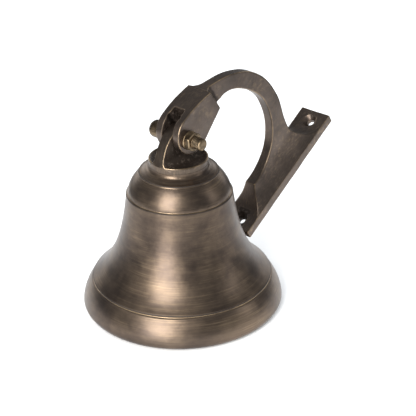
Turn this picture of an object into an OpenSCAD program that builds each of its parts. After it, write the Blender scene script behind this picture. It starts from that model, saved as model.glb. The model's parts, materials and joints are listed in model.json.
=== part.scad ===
// Ship bell on a folding wall bracket.
// The bell stands on its mouth, with the mouth's centre at the origin and +Z up the bell's axis.
// The hinge bolt runs along X. The bracket is folded back until its plate nearly meets the bell.

/* [Bell] */
// Outer diameter of the mouth
mouth_d = 100; // [98:1:104]
// Height of the hinge bolt above the mouth
hinge_z = 90.7; // [90:0.1:94]
// Height of the crown's rim
rim_z = 80; // [79:0.1:81]
// Radius of the turned crown
crown_r = 14.6; // [14:0.1:16]
// Width of the flat ring that the bell stands on
foot_w = 2.4; // [1.5:0.1:3]

/* [Lug] */
// Thickness of the lug between the bracket's cheeks
lug_t = 5.8; // [5:0.1:6.2]
// Radius of the lug's round top
lug_r = 5.8; // [5.4:0.1:6.4]

/* [Bracket] */
// Angle between the folded bracket and the hanging one
fold_deg = 57.4; // [50:0.1:57.4]
// Distance from the hinge to the plate's front face
reach = 77; // [77:0.1:84]
// Width of the plate
plate_w = 18.4; // [16:0.1:22]
// Thickness of the plate
plate_t = 4.7; // [3.5:0.1:6]
// Length of the plate
plate_l = 79.8; // [78:0.1:82]
// How far the plate's lower end is below the hinge
plate_drop = 2.4; // [1:0.1:2.6]
// Distance between the two screw holes
screw_pitch = 67; // [62:0.5:68]
// Diameter of the screw holes
screw_d = 3.8; // [3:0.1:5]
// Diameter of their countersinks
sink_d = 7.8; // [7:0.1:9]
// Thickness of the arm
arm_t = 5.5; // [4.5:0.1:7]

/* [Fork] */
// Width over both cheeks
fork_w = 14.8; // [13:0.1:16]
// Width of the slot between the cheeks
slot_w = 6.8; // [6.8:0.1:7.4]
// Radius of the fork's round end
fork_r = 10.6; // [10:0.1:10.8]

/* [Hinge bolt] */
// Diameter of the bolt's shank
bolt_d = 6; // [5:0.1:6.4]
// Length of the bolt's head
head_l = 9.4; // [4:0.1:10]
// Diameter of the bolt's head
head_d = 8.8; // [7:0.1:9]
// Width of the nut across its flats
nut_af = 8.8; // [8.6:0.1:11]

/* [Clapper] */
// Height of the ball's centre
ball_z = 12.5; // [12.5:0.1:16]
// Diameter of the ball
ball_d = 13; // [10:0.5:13]
// Diameter of the clapper's rod
rod_d = 3.6; // [3:0.1:4]
// Diameter of the wire in both eyes
eye_wire = 2.2; // [1.8:0.1:2.2]
// Diameter of the wire in the link
link_wire = 1.8; // [1.4:0.1:1.8]

/* [Hidden] */
$fn = 96;
mouth_r = mouth_d / 2;
cut = 0.1;                 // how far a cutter passes beyond a face
running = 0.08;            // radial clearance of the hinge bolt
gap = 0.3;                 // play where one wire hangs in another

lip_z = 3.6;               // the widest part of the lip
groove_low = [mouth_r - 5.6, 15.9];
ledge = [26.2, 61.4];       // where the waist ends in a step below the dome
bead = [19.6, 72.7];       // the edge round the shoulder's top
ceiling_z = 68.5;          // underside of the crown, inside the bell
floor_z = 78.4;            // floor of the recesses beside the lug
lug_foot = 5;              // radius of the fillet at the lug's foot

slot_root = 9.2;           // from the hinge to the bottom of the slot
neck_z = 24;               // where the fork ends and the arm begins
fork_rise = 4;             // from the hinge up to the centre of the fork's round end
arch_top = 59.6;           // highest point of the arm's upper edge
arch_under = 51;           // highest point of the gap below it
arch_y = 37.8;             // where along the arm the upper edge is highest
heel = [reach - 10.5, 19.9]; // corner where the web's lower end begins to run out into the plate
top_fillet = 14;           // radius that runs the web into the plate at its upper end
flare_r = 19;              // radius that widens the web to the plate's width
screw_mid = plate_l / 2 - plate_drop;
sink_depth = (sink_d - screw_d) / 2;

washer_t = 0.8;
washer_d = 9.4;
nut_t = 3.2;
bolt_end = 16.8;           // how far the threaded end reaches from the middle
chamfer = 0.6;             // on the bolt's threaded end
dome_h = 3;                // height of the head's round end

eye_r = 3.2;               // middle of the wire, in both eyes
link_r = 4.2;
hang = (eye_wire + link_wire) / 2 + gap;
eye_z = 60.6;              // centre of the eye bolt's eye
link_pin_z = eye_z - eye_r;
link_z = link_pin_z + hang - link_r;
rod_pin_z = link_z - link_r;
rod_eye_z = rod_pin_z + hang - eye_r;
eye_thread_d = 4;
eye_thread_top = 75;       // where the eye bolt ends inside the crown
lock_nut_af = 7;
lock_nut_t = 2.4;
tail_eye_z = 3.3;
tail_eye_r = 1.5;
tail_wire = 1.4;

brass_brown = [0.42, 0.34, 0.25];
brass_dark = [0.36, 0.30, 0.24];
brass_olive = [0.52, 0.45, 0.26];
brass_plain = [0.60, 0.50, 0.30];

// Points along a cubic curve from a to d, with the handles b and c.
function curve(a, b, c, d, steps = 12) = [
    for (i = [0:steps])
        let (t = i / steps, u = 1 - t)
        u * u * u * a + 3 * u * u * t * b + 3 * u * t * t * c + t * t * t * d
];

// Points along an arc round a centre, from one angle to another.
function arc(centre, r, from, to, steps = 16) = [
    for (i = [0:steps])
        let (angle = from + (to - from) * i / steps)
        centre + r * [cos(angle), sin(angle)]
];

// Every outline lies in a plane of [distance from the axis, height] or [y, z].
bell_outside = concat(
    curve([mouth_r - 3.6, 0], [mouth_r - 2.2, 0.3], [mouth_r - 0.2, 1.6], [mouth_r, lip_z], 6),
    curve([mouth_r, lip_z], [mouth_r - 0.3, 7.5], [mouth_r - 2, 11.5], [mouth_r - 4.9, 15.4], 8),
    [groove_low],
    curve([mouth_r - 5.3, 16.5], [mouth_r - 15.6, 25.1], [29.3, 36], ledge, 24),
    [ledge + [-0.7, 0.2]],
    curve(ledge + [-0.9, 0.8], [25.6, 65.5], [22.4, 69.3], [bead.x, bead.y - 0.3], 12),
    [bead + [0, 0.3], bead + [-0.5, 0.4]],
    curve(bead + [-1, 0.4], [17, 73.5], [crown_r + 0.2, 74.4], [crown_r, 77], 8)
);

bell_inside = concat(
    curve([mouth_r - 3.6 - foot_w, 0], [43.2, 9], [37.6, 17], [33.4, 25.5], 10),
    curve([33.4, 25.5], [29.5, 33.5], [25.2, 42], [24.2, 56], 12),
    curve([24.2, 56], [23.6, 64], [19, ceiling_z], [11, ceiling_z], 8)
);

function reversed(points) = [for (i = [len(points) - 1:-1:0]) points[i]];

// Turns an outline in Y and Z into a slab of the given width along X.
module across(width) {
    rotate([90, 0, 90])
        linear_extrude(width, center = true)
            children();
}

// A round bar or hole along X between two places.
module bar_x(d, from, to) {
    translate([from, 0, 0])
        rotate([0, 90, 0])
            cylinder(d = d, h = to - from);
}

// A ring of wire in the XZ plane.
module ring_xz(r, wire) {
    rotate([90, 0, 0])
        rotate_extrude()
            translate([r, 0])
                circle(d = wire, $fn = 48);
}

module bell_shell() {
    rotate_extrude()
        polygon(concat(
            bell_outside,
            [[crown_r, rim_z], [crown_r - 0.8, rim_z], [crown_r - 0.8, floor_z], [0, floor_z],
             [0, ceiling_z]],
            reversed(bell_inside)
        ));
}

// The lug's edges carry on from the turned crown and close in to its round top.
module lug_outline() {
    top_angle = 70;
    top_start = [lug_r * cos(top_angle), hinge_z + lug_r * sin(top_angle)];
    edge = curve([crown_r, rim_z], [crown_r - 2.3, rim_z + 3.5], [crown_r - 2.4, hinge_z + 1.8],
                 top_start, 16);
    polygon(concat(
        [[-crown_r + 0.3, floor_z - 1], [crown_r - 0.3, floor_z - 1]],
        edge,
        arc([0, hinge_z], lug_r, top_angle, 180 - top_angle, 12),
        [for (p = reversed(edge)) [-p.x, p.y]]
    ));
}

// Seen from the front, the lug widens into the crown through a fillet on each side.
module lug_section() {
    half = lug_t / 2;
    polygon(concat(
        [[-half - lug_foot, floor_z - 1]],
        [[half + lug_foot, floor_z - 1]],
        reversed(arc([half + lug_foot, floor_z + lug_foot], lug_foot, 180, 270, 8)),
        [[half, hinge_z + 12], [-half, hinge_z + 12]],
        reversed(arc([-half - lug_foot, floor_z + lug_foot], lug_foot, 270, 360, 8))
    ));
}

module lug() {
    intersection() {
        across(4 * lug_t) lug_outline();
        rotate([90, 0, 0])
            linear_extrude(4 * crown_r, center = true)
                lug_section();
        cylinder(r = crown_r, h = hinge_z + 20);
    }
}

module bell() {
    color(brass_brown)
        difference() {
            union() {
                bell_shell();
                lug();
            }
            translate([0, 0, hinge_z])
                bar_x(bolt_d + 2 * running, -lug_t, lug_t);
            translate([0, 0, ceiling_z - cut])
                cylinder(d = eye_thread_d, h = eye_thread_top - ceiling_z + cut);
        }
}

// The bracket's own outlines have the hinge at their origin, and the wall at +Y.
module fork_outline() {
    polygon(concat(
        arc([0, fork_rise], fork_r, -180, 17, 36),
        [[4.7, neck_z + 0.3], [-7.5, neck_z]],
        curve([-7.5, neck_z], [-9.3, 19], [-fork_r, 11], [-fork_r, fork_rise], 8)
    ));
}

// Fork end, arch, web and its two fillets, as far as the plate.
module arm_outline() {
    web_low = [reach, screw_mid - screw_pitch / 2 + 0.8];
    web_top = [reach - top_fillet, screw_mid + screw_pitch / 2 - 1.3];
    under_y = arch_y - 2.9;
    polygon(concat(
        curve([-7.5, neck_z], [0.2, 43.2], [11.4, arch_top], [arch_y, arch_top], 20),
        curve([arch_y, arch_top], [46, arch_top], [53.2, web_top.y - top_fillet],
              web_top - [0, top_fillet], 10),
        arc(web_top, top_fillet, -90, 0, 14),
        [[reach + cut, web_top.y], web_low + [cut, 0]],
        curve(web_low, web_low + [0, 7], heel + [5, -4.4], heel, 12),
        curve(heel, [67.5, 36.8], [55.8, arch_under], [under_y, arch_under], 18),
        curve([under_y, arch_under], [25.7, arch_under], [5.3, 40.6], [6.2, 29.7], 16),
        [[4.7, neck_z + 0.3]]
    ));
}

// Seen from above, the web flares from the arm's thickness to the plate's width.
module flare_outline() {
    half = arm_t / 2;
    rise = (plate_w - arm_t) / 2;
    depth = sqrt(flare_r * flare_r - (flare_r - rise) * (flare_r - rise));
    sweep = acos(1 - rise / flare_r);
    start = reach - depth;
    polygon(concat(
        arc([half + flare_r, start], flare_r, 180, 180 - sweep, 12),
        [[plate_w / 2, reach + 2 * cut], [-plate_w / 2, reach + 2 * cut]],
        arc([-half - flare_r, start], flare_r, sweep, 0, 12)
    ));
}

// Seen from the front, the neck narrows from the fork's width to the arm's thickness.
module neck_outline() {
    half = arm_t / 2;
    step = (fork_w - arm_t) / 2;
    polygon(concat(
        [[-fork_w / 2, neck_z - 1], [fork_w / 2, neck_z - 1]],
        reversed(arc([fork_w / 2, neck_z + step], step, 180, 270, 10)),
        reversed(arc([-fork_w / 2, neck_z + step], step, -90, 0, 10))
    ));
}

module screw_hole(z) {
    translate([0, reach, z])
        rotate([-90, 0, 0]) {
            translate([0, 0, -4])
                cylinder(d = sink_d, h = 4);
            cylinder(d1 = sink_d, d2 = screw_d, h = sink_depth);
            cylinder(d = screw_d, h = plate_t + cut);
        }
}

module bracket_hanging() {
    difference() {
        union() {
            translate([-plate_w / 2, reach, -plate_drop])
                cube([plate_w, plate_t, plate_l]);
            across(arm_t) arm_outline();
            intersection() {
                across(plate_w) arm_outline();
                linear_extrude(arch_top + top_fillet)
                    flare_outline();
            }
            intersection() {
                across(fork_w) arm_outline();
                rotate([90, 0, 0])
                    linear_extrude(2 * reach, center = true)
                        neck_outline();
            }
            across(fork_w) fork_outline();
        }
        translate([-slot_w / 2, -2 * fork_r, -2 * fork_r])
            cube([slot_w, 4 * fork_r, 2 * fork_r + slot_root]);
        bar_x(bolt_d + 2 * running, -fork_w, fork_w);
        for (side = [-1, 1])
            screw_hole(screw_mid + side * screw_pitch / 2);
    }
}

module wall_bracket() {
    color(brass_dark)
        translate([0, 0, hinge_z])
            rotate([-fold_deg, 0, 0])
                bracket_hanging();
}

module hinge_bolt() {
    outer = -fork_w / 2 - head_l;
    color(brass_olive)
        translate([0, 0, hinge_z]) {
            bar_x(bolt_d, -fork_w / 2, bolt_end - chamfer);
            translate([bolt_end - chamfer, 0, 0])
                rotate([0, 90, 0])
                    cylinder(d1 = bolt_d, d2 = bolt_d - 2 * chamfer, h = chamfer);
            bar_x(head_d, outer + dome_h, -fork_w / 2);
            translate([outer + dome_h, 0, 0])
                rotate([0, -90, 0])
                    rotate_extrude()
                        polygon(concat([[0, 0]], curve([head_d / 2, 0], [head_d / 2, dome_h * 0.7],
                                                       [head_d / 4, dome_h], [0, dome_h], 8)));
        }
}

module hinge_washer() {
    color(brass_olive)
        translate([0, 0, hinge_z])
            difference() {
                bar_x(washer_d, fork_w / 2, fork_w / 2 + washer_t);
                bar_x(bolt_d, 0, fork_w);
            }
}

// A hexagonal nut whose hole is as wide as the thread it sits on.
module hex_nut(af, hole, t) {
    difference() {
        cylinder(d = af / cos(30), h = t, $fn = 6);
        translate([0, 0, -cut])
            cylinder(d = hole, h = t + 2 * cut);
    }
}

module hinge_nut() {
    color(brass_olive)
        translate([fork_w / 2 + washer_t, 0, hinge_z])
            rotate([0, 90, 0])
                hex_nut(nut_af, bolt_d, nut_t);
}

module clapper_eye_bolt() {
    color(brass_plain) {
        translate([0, 0, eye_z])
            ring_xz(eye_r, eye_wire);
        translate([0, 0, eye_z + eye_r])
            cylinder(d = eye_thread_d, h = eye_thread_top - eye_z - eye_r);
    }
}

module eye_lock_nut() {
    color(brass_plain)
        translate([0, 0, ceiling_z - lock_nut_t])
            hex_nut(lock_nut_af, eye_thread_d, lock_nut_t);
}

module clapper_link() {
    color(brass_plain)
        translate([0, 0, link_z])
            rotate([0, 0, 90])
                ring_xz(link_r, link_wire);
}

module clapper_rod() {
    rod_top = rod_eye_z - eye_r;
    rod_low = tail_eye_z + tail_eye_r;
    color(brass_plain) {
        translate([0, 0, rod_eye_z])
            ring_xz(eye_r, eye_wire);
        translate([0, 0, rod_low])
            cylinder(d = rod_d, h = rod_top - rod_low);
        translate([0, 0, tail_eye_z])
            ring_xz(tail_eye_r, tail_wire);
    }
}

module clapper_ball() {
    color(brass_plain)
        translate([0, 0, ball_z])
            difference() {
                sphere(d = ball_d);
                cylinder(d = rod_d, h = 2 * ball_d, center = true);
            }
}

bell();
wall_bracket();
hinge_bolt();
hinge_washer();
hinge_nut();
clapper_eye_bolt();
eye_lock_nut();
clapper_link();
clapper_rod();
clapper_ball();
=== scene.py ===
"""Looks of a ship bell that stands on its mouth with its wall bracket folded back.

Lengths are in millimetres until a mesh is made, and MM turns them into metres there.
The castings are level surfaces of distance fields, so that every web, lug and edge is blended
the way a casting is. The turned shell, the bolt and the small parts are lathed outlines.
"""

import json
import math

import bpy
import numpy as np
from mathutils import Matrix, Vector


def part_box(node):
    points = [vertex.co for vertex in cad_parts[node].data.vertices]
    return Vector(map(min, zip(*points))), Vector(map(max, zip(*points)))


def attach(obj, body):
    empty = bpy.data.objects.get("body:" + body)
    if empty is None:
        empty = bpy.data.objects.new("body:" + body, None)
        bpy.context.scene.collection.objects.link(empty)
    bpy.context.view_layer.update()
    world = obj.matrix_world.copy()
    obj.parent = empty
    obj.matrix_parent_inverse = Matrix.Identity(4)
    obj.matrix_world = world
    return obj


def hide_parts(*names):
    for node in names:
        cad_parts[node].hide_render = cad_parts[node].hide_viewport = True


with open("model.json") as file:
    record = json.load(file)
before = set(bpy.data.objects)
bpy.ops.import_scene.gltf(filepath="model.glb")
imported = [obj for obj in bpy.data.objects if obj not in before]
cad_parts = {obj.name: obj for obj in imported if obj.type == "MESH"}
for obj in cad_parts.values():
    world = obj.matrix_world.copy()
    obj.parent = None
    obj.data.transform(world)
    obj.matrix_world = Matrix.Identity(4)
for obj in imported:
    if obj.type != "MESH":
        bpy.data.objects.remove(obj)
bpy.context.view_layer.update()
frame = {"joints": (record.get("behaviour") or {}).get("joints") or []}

MM = 0.001
JOINTS = {joint["name"]: joint for joint in frame["joints"]}


def node_size(node):
    """Size of a CAD node along X, Y and Z, in millimetres."""
    low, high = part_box(node)
    return np.array(high - low) / MM


# ---------------------------------------------------------------- driving sizes, in mm
HINGE_Z = JOINTS["bracket_hinge"]["pos_m"][2] / MM
EYE_PIN_Z = JOINTS["link_swing"]["pos_m"][2] / MM
ROD_PIN_Z = JOINTS["clapper_swing"]["pos_m"][2] / MM
MOUTH_R = node_size("bell")[0] / 2
CROWN_R = 14.6
RIM_Z = 80.0
RECESS_Z = 78.4
CEILING_Z = 68.5
FOOT_W = 2.4
LUG_T = 5.8
LUG_R = 5.8
LUG_FOOT = 5.0
LUG_TOP_DEG = 70
LEDGE = np.array((26.2, 61.4))

FOLD_DEG = 57.4
REACH = 77.0
PLATE_W = node_size("wall_bracket")[0]
PLATE_T = 4.7
PLATE_L = 79.8
PLATE_DROP = 2.4
SCREW_PITCH = 67.0
SCREW_R = 1.9
SINK_R = 3.9
ARM_T = 5.5
FORK_W = 14.8
SLOT_W = 6.8
FORK_R = 10.6
FORK_RISE = 4.0
NECK_Z = 24.0
SLOT_ROOT = 9.2
ARCH_TOP = 59.6
ARCH_UNDER = 51.0
ARCH_Y = 37.8
HEEL = (REACH - 10.5, 19.9)
TOP_FILLET = 14.0
FLARE_R = 19.0

BOLT_R = 3.0
BOLT_END = 16.8
HEAD_L = 9.4
HEAD_R = 4.4
DOME_H = 3.0
WASHER_T = 0.8
WASHER_R = 4.7
NUT_T = 3.2
NUT_AF = 8.8

# How finely the meshes are made: cells of the level surfaces in mm, and steps round a lathed piece
CROWN_CELL = 0.26
BRACKET_CELL = 0.33
NUT_CELL = 0.14
EYE_CELL = 0.18
LOCK_NUT_CELL = 0.16
ROD_CELL = 0.2
SHELL_SEGMENTS = 320
SMALL_SEGMENTS = 72


# ---------------------------------------------------------------- outlines
def curve(a, b, c, d, steps=24):
    """Points along a cubic curve from a to d, with the handles b and c."""
    t = np.linspace(0, 1, steps + 1)[:, None]
    a, b, c, d = (np.array(p, float) for p in (a, b, c, d))
    return a * (1 - t) ** 3 + 3 * b * t * (1 - t) ** 2 + 3 * c * t * t * (1 - t) + d * t ** 3


def arc(centre, radius, start, end, steps=24):
    """Points along an arc, between two angles in degrees."""
    angle = np.radians(np.linspace(start, end, steps + 1))
    return np.array(centre) + radius * np.stack([np.cos(angle), np.sin(angle)], 1)


def path(*parts):
    """One list of points from points and stretches of points."""
    return np.concatenate([np.atleast_2d(np.array(part, float)) for part in parts])


def polygon_distance(points, outline):
    """Signed distance from 2D points to a closed outline, negative inside."""
    start = outline
    end = np.roll(outline, -1, 0)
    best = np.full(len(points), 1e9)
    inside = np.zeros(len(points), bool)
    for p, q in zip(start, end):
        edge = q - p
        length2 = edge @ edge
        if length2 < 1e-12:
            continue
        away = points - p
        along = np.clip((away @ edge) / length2, 0, 1)
        gap = away - along[:, None] * edge
        best = np.minimum(best, (gap * gap).sum(1))
        spans = (p[1] > points[:, 1]) != (q[1] > points[:, 1])
        if p[1] != q[1]:
            cross = p[0] + (points[:, 1] - p[1]) * edge[0] / edge[1]
            inside ^= spans & (points[:, 0] < cross)
    return np.where(inside, -1, 1) * np.sqrt(best)


class Outline:
    """Distance to an outline, kept on a fine grid and read between its points."""

    def __init__(self, outline, margin=6.0, pitch=0.12):
        self.low = outline.min(0) - margin
        self.pitch = pitch
        counts = np.ceil((outline.max(0) + margin - self.low) / pitch).astype(int) + 2
        u = self.low[0] + pitch * np.arange(counts[0])
        v = self.low[1] + pitch * np.arange(counts[1])
        spots = np.stack(np.meshgrid(u, v, indexing="ij"), -1).reshape(-1, 2)
        self.values = polygon_distance(spots, outline).reshape(counts)

    def __call__(self, a, b):
        u = np.clip((a - self.low[0]) / self.pitch, 0, self.values.shape[0] - 1.001)
        v = np.clip((b - self.low[1]) / self.pitch, 0, self.values.shape[1] - 1.001)
        i = u.astype(int)
        j = v.astype(int)
        u = u - i
        v = v - j
        grid = self.values
        low = grid[i, j] * (1 - v) + grid[i, j + 1] * v
        high = grid[i + 1, j] * (1 - v) + grid[i + 1, j + 1] * v
        return low * (1 - u) + high * u


# ---------------------------------------------------------------- distance fields
def both(a, b, radius):
    """Where two shapes overlap, with the edge between them rounded."""
    u = np.maximum(a + radius, 0)
    v = np.maximum(b + radius, 0)
    return np.minimum(-radius, np.maximum(a, b)) + np.hypot(u, v)


def either(a, b, radius):
    """Two shapes together, with a fillet where they meet."""
    u = np.maximum(radius - a, 0)
    v = np.maximum(radius - b, 0)
    return np.maximum(radius, np.minimum(a, b)) - np.hypot(u, v)


def block(a, b, centre, half, radius):
    """Distance to a rectangle with round corners."""
    u = np.abs(a - centre[0]) - half[0] + radius
    v = np.abs(b - centre[1]) - half[1] + radius
    outside = np.hypot(np.maximum(u, 0), np.maximum(v, 0))
    return outside + np.minimum(np.maximum(u, v), 0) - radius


def ripple(x, y, z, size, seed):
    """Smooth unevenness between -1 and 1, with lumps about as wide as size."""
    rng = np.random.default_rng(seed)
    total = np.zeros(np.broadcast(x, y, z).shape)
    waves = 9
    for _ in range(waves):
        way = rng.normal(size=3)
        way *= math.pi / size / np.linalg.norm(way)
        shift = rng.uniform(0, 2 * math.pi)
        total += np.sin(x * way[0] + y * way[1] + z * way[2] + shift)
    return total / math.sqrt(2 * waves) * 1.4


def level_surface(field, low, high, cell):
    """Vertices and quads of the surface where field(x, y, z) is zero, negative inside."""
    low = np.array(low, float)
    counts = np.ceil((np.array(high, float) - low) / cell).astype(int) + 1
    axes = [low[k] + cell * np.arange(counts[k]) for k in range(3)]
    values = field(*np.meshgrid(*axes, indexing="ij"))
    cells = counts - 1
    places = []
    owners = []
    flips = []
    for axis in range(3):
        lower = np.take(values, range(values.shape[axis] - 1), axis)
        upper = np.take(values, range(1, values.shape[axis]), axis)
        spot = np.stack(np.nonzero((lower < 0) != (upper < 0)), 1)
        a = lower[tuple(spot.T)]
        b = upper[tuple(spot.T)]
        place = spot.astype(float)
        place[:, axis] += a / (a - b)
        u, v = [(1, 2), (2, 0), (0, 1)][axis]
        ring = []
        for du, dv in ((-1, -1), (0, -1), (0, 0), (-1, 0)):
            cube = spot.copy()
            cube[:, u] += du
            cube[:, v] += dv
            ring.append(np.ravel_multi_index(tuple(cube.T), cells))
        places.append(place)
        owners.append(np.stack(ring, 1))
        flips.append(a > 0)
    places = np.concatenate(places)
    owners = np.concatenate(owners)
    flips = np.concatenate(flips)
    _, quads = np.unique(owners, return_inverse=True)
    quads = quads.reshape(-1, 4)
    total = np.bincount(quads.ravel())
    points = np.stack([
        np.bincount(quads.ravel(), np.repeat(places[:, k], 4)) / total for k in range(3)
    ], 1)
    points = low + cell * points
    quads[flips] = quads[flips][:, ::-1]
    return settle(field, points, cell), quads


def settle(field, points, cell, rounds=3):
    """Moves points on to the surface, along the field's slope."""
    probe = 0.25 * cell
    for _ in range(rounds):
        value = field(*points.T)
        slope = np.zeros_like(points)
        for k in range(3):
            step = np.zeros(3)
            step[k] = probe
            slope[:, k] = field(*(points + step).T) - field(*(points - step).T)
        slope /= 2 * probe
        steep = np.maximum((slope * slope).sum(1), 0.3)
        move = slope * (value / steep)[:, None]
        points = points - np.clip(move, -0.5 * cell, 0.5 * cell)
    return points


# ---------------------------------------------------------------- meshes
def mark_edges(mesh):
    """Stores how sharply the surface bends at each vertex, plus on edges and minus in corners.

    The bend is averaged once with that of the neighbours."""
    count = len(mesh.vertices)
    points = np.empty(count * 3, np.float32)
    mesh.vertices.foreach_get("co", points)
    points = points.reshape(-1, 3).astype(float) / MM
    normals = np.empty(count * 3, np.float32)
    mesh.vertex_normals.foreach_get("vector", normals)
    normals = normals.reshape(-1, 3)
    ends = np.empty(len(mesh.edges) * 2, np.int32)
    mesh.edges.foreach_get("vertices", ends)
    a, b = ends.reshape(-1, 2).T
    away = points[b] - points[a]
    length2 = np.maximum((away * away).sum(1), 1e-9)
    bend_a = -2 * (away * normals[a]).sum(1) / length2
    bend_b = 2 * (away * normals[b]).sum(1) / length2
    links = np.bincount(a, minlength=count) + np.bincount(b, minlength=count)
    links = np.maximum(links, 1)
    bend = np.bincount(a, bend_a, count) + np.bincount(b, bend_b, count)
    bend /= links
    near = np.bincount(a, bend[b], count) + np.bincount(b, bend[a], count)
    bend = 0.5 * bend + 0.5 * near / links
    layer = mesh.attributes.new("bend", "FLOAT", "POINT")
    layer.data.foreach_set("value", bend.astype(np.float32))


def add_piece(name, points, faces, material, grime_and_shade=None):
    """A smooth mesh object from points in mm. Dirt, which in the crown's recesses also stands for painted
    shade, is 0 to 1 at each point, none unless given.
    """
    mesh = bpy.data.meshes.new(name)
    mesh.from_pydata((np.array(points) * MM).tolist(), [], [list(face) for face in faces])
    mesh.validate()
    mesh.polygons.foreach_set("use_smooth", [True] * len(mesh.polygons))
    mesh.update()
    mark_edges(mesh)
    # Dirt, and in the crown's recesses painted shade too, goes into its own layer for the material.
    if grime_and_shade is not None:
        layer = mesh.attributes.new("grime_and_shade", "FLOAT", "POINT")
        layer.data.foreach_set("value", np.clip(grime_and_shade, 0, 1).astype(np.float32))
    mesh.materials.append(material)
    piece = bpy.data.objects.new(name, mesh)
    bpy.context.scene.collection.objects.link(piece)
    return piece


def lathe(outline, segments=96):
    """Points and faces of an outline of (radius, height) turned round Z.

    The outline starts and ends on the axis, or closes on itself."""
    on_axis = outline[:, 0] < 1e-6
    points = []
    rows = []
    for (radius, height), pole in zip(outline, on_axis):
        if pole:
            rows.append([len(points)] * segments)
            points.append((0.0, 0.0, height))
            continue
        rows.append(list(range(len(points), len(points) + segments)))
        for k in range(segments):
            angle = 2 * math.pi * k / segments
            points.append((radius * math.cos(angle), radius * math.sin(angle), height))
    if not (on_axis[0] and on_axis[-1]):
        rows.append(rows[0])
    faces = []
    for one, two in zip(rows, rows[1:]):
        for k in range(segments):
            m = (k + 1) % segments
            face = list(dict.fromkeys((one[k], one[m], two[m], two[k])))
            if len(face) > 2:
                faces.append(face)
    return np.array(points), faces


def resample(outline, step):
    """The same outline with no stretch longer than step."""
    points = []
    for p, q in zip(outline, outline[1:]):
        count = max(1, math.ceil(np.linalg.norm(q - p) / step))
        for k in range(count):
            points.append(p + (q - p) * k / count)
    points.append(outline[-1])
    return np.array(points)


def along_x(points):
    """Lathed points whose axis becomes X."""
    return points[:, [2, 0, 1]]


def lifted(points, x=0.0, y=0.0, z=0.0):
    """The same points moved along X, Y and Z."""
    return points + np.array([x, y, z])


# ---------------------------------------------------------------- materials
class Nodes:
    """Short calls for building one material."""

    def __init__(self, name):
        self.material = bpy.data.materials.new(name)
        self.material.use_nodes = True
        self.tree = self.material.node_tree
        self.shader = self.tree.nodes["Principled BSDF"]

    def add(self, kind, **settings):
        made = self.tree.nodes.new(kind)
        for key, value in settings.items():
            setattr(made, key, value)
        return made

    def link(self, source, target):
        if isinstance(source, (int, float, tuple)):
            target.default_value = source
        else:
            self.tree.links.new(source, target)

    def math(self, operation, a, b=0.0, clamp=False):
        made = self.add("ShaderNodeMath", operation=operation, use_clamp=clamp)
        self.link(a, made.inputs[0])
        self.link(b, made.inputs[1])
        return made.outputs[0]

    def ramp(self, source, low, high, start=0.0, end=1.0):
        made = self.add("ShaderNodeMapRange", interpolation_type="SMOOTHSTEP")
        self.link(source, made.inputs["Value"])
        made.inputs["From Min"].default_value = low
        made.inputs["From Max"].default_value = high
        made.inputs["To Min"].default_value = start
        made.inputs["To Max"].default_value = end
        return made.outputs["Result"]

    def noise(self, vector, scale, detail=4.0, roughness=0.55, distortion=0.0):
        made = self.add("ShaderNodeTexNoise")
        self.link(vector, made.inputs["Vector"])
        made.inputs["Scale"].default_value = scale
        made.inputs["Detail"].default_value = detail
        made.inputs["Roughness"].default_value = roughness
        made.inputs["Distortion"].default_value = distortion
        return made.outputs["Fac"]

    def mix(self, factor, a, b):
        made = self.add("ShaderNodeMix", data_type="RGBA")
        self.link(factor, made.inputs["Factor"])
        self.link(a, made.inputs[6])
        self.link(b, made.inputs[7])
        return made.outputs[2]

    def position(self):
        return self.add("ShaderNodeTexCoord").outputs["Object"]

    def around_z(self, along, across):
        """Coordinates that run round Z slowly and up Z fast, for marks left by turning."""
        parts = self.add("ShaderNodeSeparateXYZ")
        self.link(self.position(), parts.inputs[0])
        x, y, z = parts.outputs
        squares = self.math("ADD", self.math("MULTIPLY", x, x), self.math("MULTIPLY", y, y))
        radius = self.math("SQRT", squares)
        radius = self.math("MAXIMUM", radius, 1e-5)
        joined = self.add("ShaderNodeCombineXYZ")
        self.link(self.math("MULTIPLY", self.math("DIVIDE", x, radius), along), joined.inputs[0])
        self.link(self.math("MULTIPLY", self.math("DIVIDE", y, radius), along), joined.inputs[1])
        height = self.math("MULTIPLY", self.math("ADD", z, self.math("MULTIPLY", radius, -0.6)), across)
        self.link(height, joined.inputs[2])
        return joined.outputs[0]

    def stretched(self, scale):
        made = self.add("ShaderNodeMapping")
        self.link(self.position(), made.inputs["Vector"])
        made.inputs["Scale"].default_value = scale
        return made.outputs[0]


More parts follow.
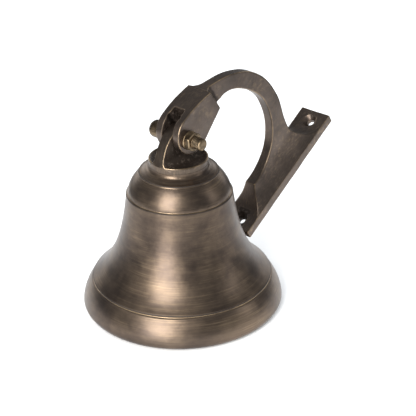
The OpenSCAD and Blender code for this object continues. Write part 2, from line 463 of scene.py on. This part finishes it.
def patina(name, dark, mid, worn, turned=False, wear=0.7, rough=0.38, grain=1.0, dirty=0.0):
    """Aged brass: a brown oxide film, thin and brassy where it is handled and on the edges."""
    n = Nodes(name)
    spot = n.position()
    clouds = n.noise(spot, 30, 5, 0.6, 0.5)
    small_clouds = n.noise(spot, 130, 5, 0.62, 0.2)
    speckle = n.noise(spot, 1300, 3, 0.6)
    if turned:
        fine = n.noise(n.around_z(1.6, 1300), 1.0, 4, 0.7)
        wide = n.noise(n.around_z(2.0, 150), 1.0, 4, 0.6)
    else:
        fine = n.noise(n.stretched((2600, 420, 420)), 1.0, 3, 0.6)
        wide = n.noise(n.stretched((160, 60, 60)), 1.0, 4, 0.6)

    cloud = n.math("ADD", n.math("MULTIPLY", clouds, 0.5), n.math("MULTIPLY", small_clouds, 0.2))
    cloud = n.math("ADD", cloud, n.math("MULTIPLY", wide, 0.3))
    thin = n.ramp(cloud, 0.36, 0.66)
    film = n.mix(thin, (*dark, 1), (*mid, 1))
    rubbed = n.math("MULTIPLY", n.ramp(fine, 0.45, 0.8), n.ramp(clouds, 0.42, 0.66, 0.05, 0.45))
    film = n.mix(rubbed, film, (*worn, 1))

    bend = n.add("ShaderNodeAttribute", attribute_name="bend").outputs["Fac"]
    broken = n.math("MULTIPLY", n.ramp(small_clouds, 0.35, 0.62, 0.35, 1.0), wear)
    edge = n.math("MULTIPLY", n.ramp(bend, 0.3, 1.2), broken, clamp=True)
    corner = n.ramp(bend, -0.1, -0.8, 0.0, 0.85)
    film = n.mix(edge, film, (*worn, 1))
    deep = tuple(0.25 * c for c in dark)
    film = n.mix(corner, film, (*deep, 1))
    if dirty:
        film = n.mix(n.ramp(n.noise(spot, 420, 4, 0.6), 0.46, 0.60, 0.0, dirty), film, (*deep, 1))
    # Dark crust with lighter flecks: real dirt in the fork's slot, and dirt with painted shade in the
    # crown's recesses.
    grime_and_shade = n.add("ShaderNodeAttribute", attribute_name="grime_and_shade").outputs["Fac"]
    crust_and_shade = (0.35 * dark[0], 0.28 * dark[1], 0.22 * dark[2])
    flecks = tuple(0.7 * c for c in mid)
    specks = n.mix(n.ramp(n.noise(spot, 650, 4, 0.65), 0.52, 0.66), (*crust_and_shade, 1), (*flecks, 1))
    film = n.mix(n.math("MULTIPLY", grime_and_shade, 0.9), film, specks)
    corner = n.math("MAXIMUM", corner, n.math("MULTIPLY", grime_and_shade, 0.8))
    n.link(film, n.shader.inputs["Base Color"])

    metal = n.math("SUBTRACT", 0.95, n.math("MULTIPLY", corner, 0.5))
    n.link(metal, n.shader.inputs["Metallic"])
    gloss = n.math("ADD", rough, n.math("MULTIPLY", n.math("SUBTRACT", small_clouds, 0.5), 0.20))
    gloss = n.math("ADD", gloss, n.math("MULTIPLY", n.math("SUBTRACT", fine, 0.5), 0.16))
    gloss = n.math("SUBTRACT", gloss, n.math("MULTIPLY", edge, 0.10))
    gloss = n.math("ADD", gloss, n.math("MULTIPLY", corner, 0.25), clamp=True)
    n.link(gloss, n.shader.inputs["Roughness"])

    relief = n.math("ADD", n.math("MULTIPLY", fine, 0.5), n.math("MULTIPLY", speckle, 0.5 * grain))
    fine_bump = n.add("ShaderNodeBump")
    fine_bump.inputs["Strength"].default_value = 0.3
    fine_bump.inputs["Distance"].default_value = 0.00005
    n.link(relief, fine_bump.inputs["Height"])
    broad_bump = n.add("ShaderNodeBump")
    broad_bump.inputs["Strength"].default_value = 0.4
    broad_bump.inputs["Distance"].default_value = 0.0002
    n.link(small_clouds, broad_bump.inputs["Height"])
    n.link(fine_bump.outputs[0], broad_bump.inputs["Normal"])
    n.link(broad_bump.outputs[0], n.shader.inputs["Normal"])
    return n.material


WORN = (0.46, 0.335, 0.205)
BELL = patina("bell_patina", (0.074, 0.056, 0.047), (0.174, 0.129, 0.094), WORN, turned=True, rough=0.35)
CROWN = patina("crown_patina", (0.070, 0.055, 0.046), (0.150, 0.117, 0.092), WORN, rough=0.36)
CASTING = patina("bracket_patina", (0.076, 0.061, 0.053), (0.160, 0.125, 0.104), WORN,
                 grain=1.3, rough=0.38)
FASTENER = patina("fastener_patina", (0.055, 0.040, 0.026), (0.27, 0.20, 0.125), (0.58, 0.43, 0.27),
                  wear=0.6, rough=0.42, dirty=0.5)
CLAPPER = patina("clapper_patina", (0.12, 0.09, 0.055), (0.30, 0.23, 0.135), (0.55, 0.44, 0.27),
                 turned=True)


# ---------------------------------------------------------------- bell
def bell_profile():
    """Outside of the shell from the crown's foot to the mouth, then its inside up to the axis."""
    lip = MOUTH_R
    outside = path(
        [(0, 77.6), (CROWN_R - 0.9, 77.6), (CROWN_R - 0.2, 77.5), (CROWN_R - 0.02, 77.3), (CROWN_R, 77)],
        curve((CROWN_R + 0.02, 76.2), (CROWN_R + 0.1, 75.2),
              (CROWN_R + 0.6, 74.6), (CROWN_R + 1.7, 74.2), 14),
        curve((CROWN_R + 2.1, 74.05), (17.2, 73.8), (17.8, 73.4), (18.8, 73.15), 8),
        [(19.2, 73.1), (19.5, 73.0), (19.68, 72.7), (19.65, 72.35), (19.8, 72.05)],
        curve((20.0, 71.9), (22.6, 69.2), (25.0, 65.6), LEDGE + (-0.8, 0.8), 40),
        [LEDGE + (-0.85, 0.5), LEDGE + (-0.75, 0.3), LEDGE + (-0.15, 0.12), LEDGE + (0.0, -0.1)],
        curve(LEDGE + (0.05, -0.5), (29.3, 36), (lip - 15.6, 25.1), (lip - 5.45, 16.7), 70),
        [(lip - 5.35, 16.45), (lip - 5.45, 16.2), (lip - 5.6, 15.9), (lip - 5.4, 15.6), (lip - 5.05, 15.5)],
        curve((lip - 4.8, 15.3), (lip - 2, 11.5), (lip - 0.3, 7.5), (lip, 3.7), 30),
        curve((lip, 3.5), (lip - 0.2, 1.5), (lip - 1.9, 0.3), (lip - 3.3, 0.05), 14),
    )
    inside = path(
        [(lip - 3.6, 0), (lip - 3.6 - FOOT_W + 0.3, 0), (lip - 3.6 - FOOT_W, 0.3)],
        curve((lip - 3.7 - FOOT_W, 0.8), (43.2, 9), (37.6, 17), (33.4, 25.5), 20),
        curve((33.2, 26), (29.5, 33.5), (25.2, 42), (24.2, 56), 24),
        curve((24.15, 56.8), (23.6, 64), (19, CEILING_Z), (11, CEILING_Z), 24),
        [(5.5, CEILING_Z), (0, CEILING_Z)],
    )
    return resample(path(outside, inside), 1.2)


def crown_field():
    """The turned crown with a recess on each side, and the lug that stands between them."""
    knob = Outline(path(
        [(-5, 75.5), (CROWN_R - 0.03, 75.5), (CROWN_R - 0.03, 77.2)],
        [(CROWN_R, RIM_Z - 0.3), (CROWN_R - 0.3, RIM_Z), (CROWN_R - 0.8, RIM_Z)],
        curve((CROWN_R - 1.0, RIM_Z - 0.3), (CROWN_R - 2.0, RECESS_Z + 0.1),
              (9, RECESS_Z), (-5, RECESS_Z), 12),
    ))
    top = math.radians(LUG_TOP_DEG)
    top_start = np.array((LUG_R * math.cos(top), HINGE_Z + LUG_R * math.sin(top)))
    edge = curve((CROWN_R, RIM_Z), (CROWN_R - 2.3, RIM_Z + 3.5),
                 (CROWN_R - 2.4, HINGE_Z + 1.8), top_start, 24)
    side = Outline(path(
        [(-CROWN_R - 2, RECESS_Z - 2), (CROWN_R + 2, RECESS_Z - 2), (CROWN_R + 0.4, RIM_Z - 0.2)],
        edge,
        arc((0, HINGE_Z), LUG_R, LUG_TOP_DEG + 2, 178 - LUG_TOP_DEG, 10),
        edge[::-1] * (-1, 1),
        [(-CROWN_R - 0.4, RIM_Z - 0.2)],
    ))
    half = LUG_T / 2
    foot = arc((half + LUG_FOOT, RECESS_Z + LUG_FOOT), LUG_FOOT, 262, 180, 16)
    front = Outline(path(
        [(-half - LUG_FOOT, RECESS_Z - 2), (half + LUG_FOOT, RECESS_Z - 2)],
        foot,
        [(half, HINGE_Z + 14), (-half, HINGE_Z + 14)],
        foot[::-1] * (-1, 1),
    ))

    def field(x, y, z):
        radius = np.hypot(x, y)
        lug = both(side(y, z), front(x, z), 0.45)
        lug = both(lug, radius - CROWN_R, 0.3)
        uneven = 0.05 * ripple(x, y, z, 5.0, 3) * np.clip((z - RIM_Z) / 3, 0, 1)
        return either(knob(radius, z), lug, 0.35) + uneven

    return field


def recess_shade_and_dirt(points):
    """Dirt and painted shade in the recesses beside the lug, 1 where they are strongest."""
    # Painted shade and dirt: strongest deep in the recess, beside the lug and low down.
    x, y, z = points.T
    inward = (CROWN_R - 0.4 - np.hypot(x, y)) / 1.2
    aside = (np.abs(x) - LUG_T / 2) / 0.15 + 0.8
    below = (HINGE_Z + 7 - z) / 8
    return np.clip(inward, 0, 1) * np.clip(aside, 0, 1) * np.clip(below, 0, 1)


def build_bell():
    points, faces = lathe(bell_profile(), SHELL_SEGMENTS)
    shell = add_piece("bell_shell", points, faces, BELL)
    points, faces = level_surface(crown_field(), (-16, -16, 75), (16, 16, 98), CROWN_CELL)
    # The crown's recesses are darkened with dirt and painted shade.
    crown = add_piece("bell_crown", points, faces, CROWN, grime_and_shade=recess_shade_and_dirt(points))
    for piece in (shell, crown):
        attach(piece, "bell")
    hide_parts("bell")


# ---------------------------------------------------------------- bracket
def to_rest(points):
    """From the hanging bracket's frame, with the hinge at its origin, to the folded rest pose."""
    fold = math.radians(-FOLD_DEG)
    x, y, z = points.T
    turned = np.stack([
        x,
        y * math.cos(fold) - z * math.sin(fold),
        y * math.sin(fold) + z * math.cos(fold),
    ], 1)
    return turned + np.array([0, 0, HINGE_Z])


def bracket_field():
    screw_mid = PLATE_L / 2 - PLATE_DROP
    web_low = screw_mid - SCREW_PITCH / 2 + 0.8
    web_top = (REACH - TOP_FILLET, screw_mid + SCREW_PITCH / 2 - 1.3)
    under_y = ARCH_Y - 2.9
    fork = Outline(path(
        arc((0, FORK_RISE), FORK_R, -180, 17, 60),
        [(4.7, NECK_Z + 0.3), (-7.5, NECK_Z)],
        curve((-7.5, NECK_Z), (-9.3, 19), (-FORK_R, 11), (-FORK_R, FORK_RISE + 0.2), 16),
    ))
    arm = Outline(path(
        [(-7.5, NECK_Z)],
        curve((-7.4, NECK_Z + 0.2), (0.2, 43.2), (11.4, ARCH_TOP), (ARCH_Y, ARCH_TOP), 40),
        curve((ARCH_Y + 0.5, ARCH_TOP), (46, ARCH_TOP), (53.2, web_top[1] - TOP_FILLET),
              (web_top[0], web_top[1] - TOP_FILLET), 20),
        arc(web_top, TOP_FILLET, -89, 0, 24),
        [(REACH + 2, web_top[1]), (REACH + 2, web_low)],
        curve((REACH, web_low), (REACH, web_low + 7), (HEEL[0] + 5, HEEL[1] - 4.4), HEEL, 24),
        curve((HEEL[0] + 0.03, HEEL[1] + 0.4), (67.5, 36.8), (55.8, ARCH_UNDER), (under_y, ARCH_UNDER), 36),
        curve((under_y - 0.5, ARCH_UNDER), (25.7, ARCH_UNDER), (5.3, 40.6), (6.2, 29.7), 36),
        [(4.7, NECK_Z + 0.3)],
    ))
    half = ARM_T / 2
    rise = (PLATE_W - ARM_T) / 2
    depth = math.sqrt(FLARE_R ** 2 - (FLARE_R - rise) ** 2)
    sweep = math.degrees(math.acos(1 - rise / FLARE_R))
    flare = Outline(path(
        [(half, 20)],
        arc((half + FLARE_R, REACH - depth), FLARE_R, 180, 180 - sweep, 24),
        [(PLATE_W / 2, REACH + PLATE_T + 8), (-20, REACH + PLATE_T + 8), (-20, 20)],
    ))
    step = (FORK_W - ARM_T) / 2
    neck = Outline(path(
        [(FORK_W / 2, -20)],
        arc((FORK_W / 2, NECK_Z + step), step, 270, 180, 20),
        [(half, 75), (-20, 75), (-20, -20)],
    ))
    plate_centre = (REACH + PLATE_T / 2, screw_mid)
    plate_half = (PLATE_T / 2, PLATE_L / 2)

    def screw_cut(x, y, z, height):
        away = np.hypot(x, z - height)
        wall = np.clip(SINK_R - (y - REACH), SCREW_R, SINK_R)
        slope = np.where((wall > SCREW_R) & (wall < SINK_R), math.sqrt(0.5), 1.0)
        return (away - wall) * slope

    def field(x, y, z):
        outline = either(fork(y, z), arm(y, z), 0.6)
        outline = np.minimum(outline, block(y, z, plate_centre, plate_half, 0.5))
        width = np.where(y < 30, neck(np.abs(x), z), flare(np.abs(x), y))
        solid = both(outline, width, 0.5)
        slot = np.maximum(np.abs(x) - SLOT_W / 2, z - SLOT_ROOT)
        slot = np.maximum(slot, y - 30)
        edge = np.minimum(y + np.sqrt(np.maximum(FORK_R ** 2 - (z - FORK_RISE) ** 2, 0)), 3) / 3
        slot = slot + (0.03 + 0.1 * np.clip(edge, 0, 1)) * ripple(x, y, z, 0.9, 11)
        solid = both(solid, -slot, 0.35)
        for side in (-1, 1):
            cut = screw_cut(x, y, z, screw_mid + side * SCREW_PITCH / 2)
            solid = both(solid, -cut, 0.3)
        return solid + 0.07 * ripple(x, y, z, 7.0, 5)

    return field


def slot_dirt(points):
    """Dirt in the fork's slot, from points in the hanging bracket's frame."""
    x, _, z = points.T
    inside = (SLOT_W / 2 + 0.4 - np.abs(x)) / 0.3
    return np.minimum(inside, (SLOT_ROOT + 0.6 - z) / 0.3)


def build_bracket():
    low = (-PLATE_W / 2 - 1.2, -FORK_R - 1.5, -FORK_R + FORK_RISE - 1.5)
    high = (PLATE_W / 2 + 1.2, REACH + PLATE_T + 1.2, PLATE_L - PLATE_DROP + 1.2)
    points, faces = level_surface(bracket_field(), low, high, BRACKET_CELL)
    bracket = add_piece("bracket_casting", to_rest(points), faces, CASTING, grime_and_shade=slot_dirt(points))
    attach(bracket, "bracket")
    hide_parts("wall_bracket")


# ---------------------------------------------------------------- hinge hardware
def hex_field(across_flats, hole_r, thickness):
    """A nut on Z from 0 up, with its corners turned off at both faces."""
    half = across_flats / 2

    def field(x, y, z):
        sides = np.full(np.broadcast(x, y, z).shape, -1e9)
        for k in range(3):
            angle = math.radians(60 * k)
            sides = np.maximum(sides, np.abs(x * math.cos(angle) + y * math.sin(angle)) - half)
        radius = np.hypot(x, y)
        flat = np.abs(z - thickness / 2) - thickness / 2
        corners = (radius - half * 1.05 + (flat + 0.25) * 0.9) / 1.4
        nut = both(both(sides, flat, 0.3), corners, 0.3)
        return both(nut, hole_r - radius, 0.25)

    return field


def build_hinge():
    head = -FORK_W / 2 - HEAD_L
    outline = path(
        [(0, head)],
        curve((0.3, head), (HEAD_R / 2, head), (HEAD_R, head + 0.9), (HEAD_R, head + DOME_H), 16),
        [(HEAD_R, head + DOME_H + 1), (HEAD_R, -FORK_W / 2 - 0.3)],
        [(HEAD_R - 0.3, -FORK_W / 2), (BOLT_R, -FORK_W / 2)],
    )
    thread_start = FORK_W / 2 + WASHER_T + NUT_T - 0.6
    thread_end = BOLT_END - 1.0
    outline = path(outline, [(BOLT_R, thread_start)])
    pitch = 0.8
    turns = int((thread_end - thread_start) / pitch)
    for k in range(turns):
        x = thread_start + pitch * k
        outline = path(outline, [
            (BOLT_R, x + 0.15), (BOLT_R - 0.22, x + 0.4), (BOLT_R, x + 0.65)
        ])
    outline = path(
        outline,
        [(BOLT_R, thread_end), (BOLT_R - 0.15, BOLT_END - 0.55)],
        curve((BOLT_R - 0.6, BOLT_END - 0.12), (BOLT_R - 0.9, BOLT_END), (1, BOLT_END), (0, BOLT_END), 8),
    )
    points, faces = lathe(resample(outline, 0.7), SMALL_SEGMENTS)
    bolt = add_piece("pivot_bolt", lifted(along_x(points), z=HINGE_Z), faces, FASTENER)
    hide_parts("hinge_bolt")

    face = FORK_W / 2
    ring = path(
        [(BOLT_R + 0.02, face + 0.1), (BOLT_R + 0.12, face)],
        [(WASHER_R - 0.15, face), (WASHER_R, face + 0.15)],
        [(WASHER_R, face + WASHER_T - 0.25), (WASHER_R - 0.25, face + WASHER_T)],
        [(BOLT_R + 0.12, face + WASHER_T), (BOLT_R + 0.02, face + WASHER_T - 0.1)],
    )
    points, faces = lathe(ring, SMALL_SEGMENTS)
    washer = add_piece("pivot_washer", lifted(along_x(points), z=HINGE_Z), faces, FASTENER)
    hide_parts("hinge_washer")

    reach = NUT_AF / 2 / math.cos(math.radians(30)) + 0.6
    points, faces = level_surface(hex_field(NUT_AF, BOLT_R + 0.02, NUT_T), (-reach, -reach, -0.5),
                                  (reach, reach, NUT_T + 0.5), NUT_CELL)
    nut = add_piece("pivot_nut", lifted(along_x(points), x=face + WASHER_T, z=HINGE_Z), faces, FASTENER)
    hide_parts("hinge_nut")
    for piece in (bolt, washer, nut):
        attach(piece, "bracket")


# ---------------------------------------------------------------- clapper
EYE_R = 3.2
EYE_WIRE_R = 1.1
LINK_R = 4.2
LINK_WIRE_R = 0.9
ROD_R = 1.8
BALL_Z = 12.5
BALL_R = 6.5
TAIL_Z = 3.3
TAIL_R = 1.5
TAIL_WIRE_R = 0.7
THREAD_R = 2.0
LOCK_NUT_T = 2.4
LOCK_NUT_AF = 7.0
PLAY = 0.3


def ring_distance(x, y, z, height, radius, wire):
    """A ring of wire in the XZ plane."""
    away = np.hypot(x, z - height) - radius
    return np.hypot(away, y) - wire


def bar_distance(x, y, z, low, high, radius):
    """An upright round bar with slightly rounded ends."""
    away = np.hypot(x, y) - radius
    ends = np.maximum(low - z, z - high)
    return both(away, ends, 0.2)


def build_clapper():
    eye_z = EYE_PIN_Z + EYE_R
    hang = EYE_WIRE_R + LINK_WIRE_R + PLAY
    link_z = EYE_PIN_Z + hang - LINK_R
    rod_eye_z = ROD_PIN_Z + hang - EYE_R

    def eye_bolt(x, y, z):
        ring = ring_distance(x, y, z, eye_z, EYE_R, EYE_WIRE_R)
        shank = bar_distance(x, y, z, eye_z + EYE_R, CEILING_Z + 1, THREAD_R)
        return either(ring, shank, 0.5)

    def rod(x, y, z):
        ring = ring_distance(x, y, z, rod_eye_z, EYE_R, EYE_WIRE_R)
        tail = ring_distance(x, y, z, TAIL_Z, TAIL_R, TAIL_WIRE_R)
        shank = bar_distance(x, y, z, TAIL_Z + TAIL_R, rod_eye_z - EYE_R, ROD_R)
        return either(either(ring, shank, 0.9), tail, 0.5)

    side = EYE_R + EYE_WIRE_R + 0.6
    points, faces = level_surface(eye_bolt, (-side, -2.7, eye_z - side),
                                  (side, 2.7, CEILING_Z + 1.6), EYE_CELL)
    eye = add_piece("clapper_eye", points, faces, CLAPPER)
    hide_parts("clapper_eye_bolt")
    points, faces = level_surface(hex_field(LOCK_NUT_AF, THREAD_R + 0.02, LOCK_NUT_T), (-4.7, -4.7, -0.5),
                                  (4.7, 4.7, LOCK_NUT_T + 0.5), LOCK_NUT_CELL)
    nut = add_piece("eye_nut", lifted(points, z=CEILING_Z - LOCK_NUT_T), faces, CLAPPER)
    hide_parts("eye_lock_nut")

    points, faces = lathe(arc((LINK_R, 0), LINK_WIRE_R, 0, 345, 23), SMALL_SEGMENTS)
    link = add_piece("clapper_ring", lifted(points[:, [2, 0, 1]], z=link_z), faces, CLAPPER)
    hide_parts("clapper_link")

    points, faces = level_surface(rod, (-side, -2.5, TAIL_Z - 3), (side, 2.5, rod_eye_z + side), ROD_CELL)
    shank = add_piece("clapper_shank", points, faces, CLAPPER)
    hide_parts("clapper_rod")
    land = 2.9
    tilt = math.degrees(math.acos(land / BALL_R))
    globe = arc((0, 0), BALL_R, tilt, -tilt, 48)
    cap = BALL_R * math.sin(math.radians(tilt))
    outline = path([(ROD_R - 0.05, cap - 0.5), (ROD_R + 0.35, cap), (land - 0.25, cap)], globe,
                   [(land - 0.25, -cap), (ROD_R + 0.35, -cap), (ROD_R - 0.05, -cap + 0.5)])
    points, faces = lathe(outline, 96)
    ball = add_piece("clapper_bob", lifted(points, z=BALL_Z), faces, CLAPPER)
    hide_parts("clapper_ball")

    bodies = ((eye, "bell"), (nut, "bell"), (link, "link"), (shank, "clapper"), (ball, "clapper"))
    for piece, body in bodies:
        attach(piece, body)


# ---------------------------------------------------------------- studio
AIM = (0.0101, 0.0093, 0.0514)
CAMERA_AZIMUTH = 42.8
CAMERA_ELEVATION = 27.5
CAMERA_DISTANCE = 0.718
CAMERA_ROLL = -1.35
LENS_MM = 126.3
FLOOR_HALF = 0.25
WORLD_STRENGTH = 1.25
WORLD_IN_METAL = 0.25


def direction(azimuth, elevation):
    """Unit vector towards a viewer at that azimuth and elevation, in degrees."""
    a = math.radians(azimuth)
    e = math.radians(elevation)
    return Vector((math.sin(a) * math.cos(e), -math.cos(a) * math.cos(e), math.sin(e)))


def build_camera():
    data = bpy.data.cameras.new("camera")
    data.lens = LENS_MM
    data.sensor_width = 36
    data.dof.use_dof = False
    camera = bpy.data.objects.new("camera", data)
    bpy.context.scene.collection.objects.link(camera)
    back = direction(CAMERA_AZIMUTH, CAMERA_ELEVATION)
    turn = back.to_track_quat("Z", "Y").to_matrix().to_4x4()
    roll = Matrix.Rotation(math.radians(CAMERA_ROLL), 4, "Z")
    camera.matrix_world = Matrix.Translation(Vector(AIM) + back * CAMERA_DISTANCE) @ turn @ roll
    bpy.context.scene.camera = camera


def soft_light(name, azimuth, elevation, distance, size, power, tint=(1, 1, 1)):
    data = bpy.data.lights.new(name, "AREA")
    data.shape = "RECTANGLE"
    data.size, data.size_y = size
    data.energy = power
    data.color = tint
    lamp = bpy.data.objects.new(name, data)
    bpy.context.scene.collection.objects.link(lamp)
    back = direction(azimuth, elevation)
    lamp.location = Vector(AIM) + back * distance
    lamp.rotation_euler = back.to_track_quat("Z", "Y").to_euler()


def build_floor():
    """A small pale floor, which keeps its reflection in the bell's sides low."""
    half = FLOOR_HALF
    corners = [(-half, -half, 0), (half, -half, 0), (half, half, 0), (-half, half, 0)]
    mesh = bpy.data.meshes.new("floor")
    mesh.from_pydata(corners, [], [(0, 1, 2, 3)])
    floor = bpy.data.objects.new("floor", mesh)
    bpy.context.scene.collection.objects.link(floor)
    n = Nodes("pale_floor")
    grain = n.noise(n.position(), 90, 3, 0.5)
    shade = n.mix(n.ramp(grain, 0.3, 0.7), (0.94, 0.94, 0.94, 1), (0.96, 0.96, 0.96, 1))
    n.link(shade, n.shader.inputs["Base Color"])
    n.shader.inputs["Roughness"].default_value = 0.9
    n.shader.inputs["Specular IOR Level"].default_value = 0.1
    mesh.materials.append(n.material)


def build_world():
    """A pale studio that lights the floor fully and shows more weakly in the metal."""
    world = bpy.data.worlds.new("studio")
    bpy.context.scene.world = world
    world.use_nodes = True
    tree = world.node_tree
    back = tree.nodes["Background"]
    back.inputs["Color"].default_value = (0.94, 0.97, 1.0, 1)
    rays = tree.nodes.new("ShaderNodeLightPath")
    level = tree.nodes.new("ShaderNodeMapRange")
    tree.links.new(rays.outputs["Is Glossy Ray"], level.inputs["Value"])
    level.inputs["To Min"].default_value = WORLD_STRENGTH
    level.inputs["To Max"].default_value = WORLD_IN_METAL
    tree.links.new(level.outputs["Result"], back.inputs["Strength"])
    bpy.context.scene.view_settings.view_transform = "Standard"


def build_lights():
    soft_light("key", CAMERA_AZIMUTH - 27, 22, 0.95, (0.46, 0.98), 14.0, (1.0, 0.985, 0.96))
    soft_light("back_left", CAMERA_AZIMUTH - 150, 12, 1.0, (0.6, 0.5), 1.5)
    soft_light("back_right", CAMERA_AZIMUTH + 150, 12, 1.0, (0.6, 0.5), 1.2)
    soft_light("right", CAMERA_AZIMUTH + 80, 20, 1.0, (0.25, 0.6), 0.8)


build_camera()
build_world()
build_floor()
build_lights()
build_bell()
build_bracket()
build_hinge()
build_clapper()
